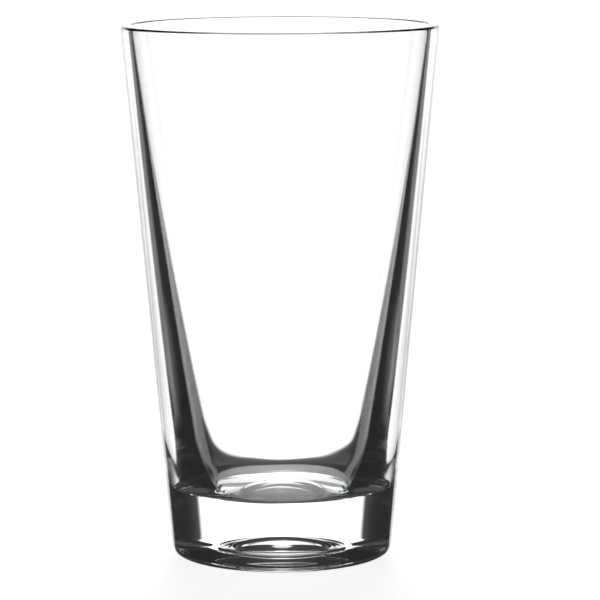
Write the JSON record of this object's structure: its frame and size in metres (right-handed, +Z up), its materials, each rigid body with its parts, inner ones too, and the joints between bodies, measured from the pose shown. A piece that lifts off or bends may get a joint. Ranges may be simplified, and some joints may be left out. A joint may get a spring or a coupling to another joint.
{
  "type": "pint glass",
  "caption": "Clear conical drinking glass with a rounded rim, walls that thicken downwards and a heavy solid foot.",
  "frame": {"origin": "centre of the foot, on the plane that the glass stands on", "axes": "+Z up along the axis of revolution, from the foot to the rim; the glass is round, so +X and +Y are arbitrary"},
  "size_m": [0.0888, 0.0888, 0.1492],
  "materials": {
    "clear_glass": "fire-polished, clear"
  },
  "bodies": {
    "root": {"glass_body": "clear_glass"}
  },
  "joints": []
}
